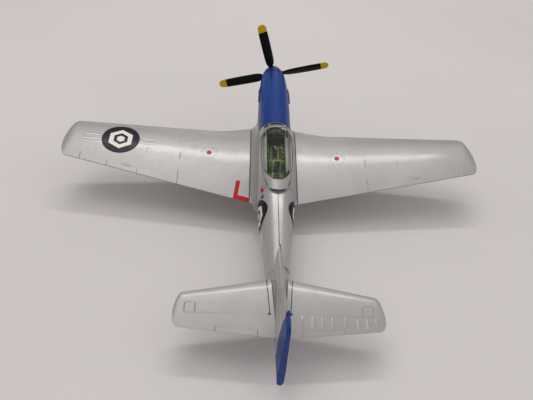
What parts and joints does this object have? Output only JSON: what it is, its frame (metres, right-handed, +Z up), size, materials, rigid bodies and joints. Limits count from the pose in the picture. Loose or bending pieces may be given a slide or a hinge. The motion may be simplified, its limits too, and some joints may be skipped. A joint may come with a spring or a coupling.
{
  "type": "propeller plane model",
  "caption": "Low-wing single-seat propeller fighter display model on its wheels, with a spinning propeller, rolling wheels and a sliding bubble canopy.",
  "frame": {"origin": "centre of the model's plan box, on the table surface under the wheels", "axes": "+X towards the right wing tip, +Y forward towards the nose, +Z up from the table"},
  "size_m": [0.1558, 0.1357, 0.0548],
  "materials": {
    "silver_paint": "fine metallic silver-grey paint over die-cast metal",
    "blue_paint": "gloss blue paint",
    "black_plastic": "satin black moulded plastic, blade tips painted yellow",
    "bare_steel": "bright drawn steel",
    "bearing_metal": "plain die-cast metal",
    "brass": "turned brass",
    "exhaust_metal": "dark burnt-metal paint",
    "cockpit_green": "matt green moulded plastic",
    "clear_glass": "clear moulded styrene",
    "gear_metal": "silver painted metal",
    "rubber_tyre": "matt black rubber"
  },
  "bodies": {
    "airframe": {"fuselage_left": "silver_paint", "fuselage_right": "silver_paint", "tail_cone": "silver_paint", "tail_fin": "silver_paint", "stabilizer_left": "silver_paint", "stabilizer_right": "silver_paint", "wing": "silver_paint", "belly_scoop": "silver_paint", "nose_bearing": "bearing_metal", "exhaust_left": "exhaust_metal", "exhaust_right": "exhaust_metal", "cockpit_tub": "cockpit_green", "pilot_seat": "cockpit_green", "head_armor": "cockpit_green", "radio_deck": "black_plastic", "instrument_panel": "black_plastic", "control_stick": "black_plastic", "gunsight": "black_plastic", "windshield_glass": "clear_glass", "windshield_frame": "silver_paint", "gun_muzzles": "exhaust_metal", "pitot_tube": "gear_metal", "gear_leg_left": "gear_metal", "gear_leg_right": "gear_metal", "gear_door_left": "silver_paint", "gear_door_right": "silver_paint", "axle_pin_left": "bare_steel", "axle_pin_right": "bare_steel", "tailwheel_fork": "gear_metal", "tailwheel_axle": "bare_steel", "tailwheel_doors": "silver_paint", "assembly_screws": "bare_steel"},
    "propeller": {"propeller_blades": "black_plastic", "spinner": "blue_paint", "spinner_backplate": "blue_paint", "prop_shaft": "bare_steel", "shaft_collar": "brass"},
    "wheel_left": {"tyre_left": "rubber_tyre", "hub_left": "gear_metal"},
    "wheel_right": {"tyre_right": "rubber_tyre", "hub_right": "gear_metal"},
    "tailwheel": {"tailwheel_tyre": "rubber_tyre", "tailwheel_hub": "gear_metal"},
    "canopy": {"canopy_glass": "clear_glass", "canopy_skirt": "silver_paint"}
  },
  "joints": [
    {"name": "propeller_spin", "type": "hinge", "parent": "airframe", "child": "propeller", "pos_m": [0, 0.06287, 0.0321], "axis": [0, 0.9781, 0.2079], "continuous": true},
    {"name": "wheel_left_spin", "type": "hinge", "parent": "airframe", "child": "wheel_left", "pos_m": [-0.025, 0.03831, 0.0048], "axis": [1, 0, 0], "continuous": true},
    {"name": "wheel_right_spin", "type": "hinge", "parent": "airframe", "child": "wheel_right", "pos_m": [0.025, 0.03831, 0.0048], "axis": [1, 0, 0], "continuous": true},
    {"name": "tailwheel_spin", "type": "hinge", "parent": "airframe", "child": "tailwheel", "pos_m": [0, -0.03004, 0.0022], "axis": [1, 0, 0], "continuous": true},
    {"name": "canopy_slide", "type": "slide", "parent": "airframe", "child": "canopy", "axis": [0, -0.9898, -0.1424], "range_m": [0, 0.009]}
  ]
}
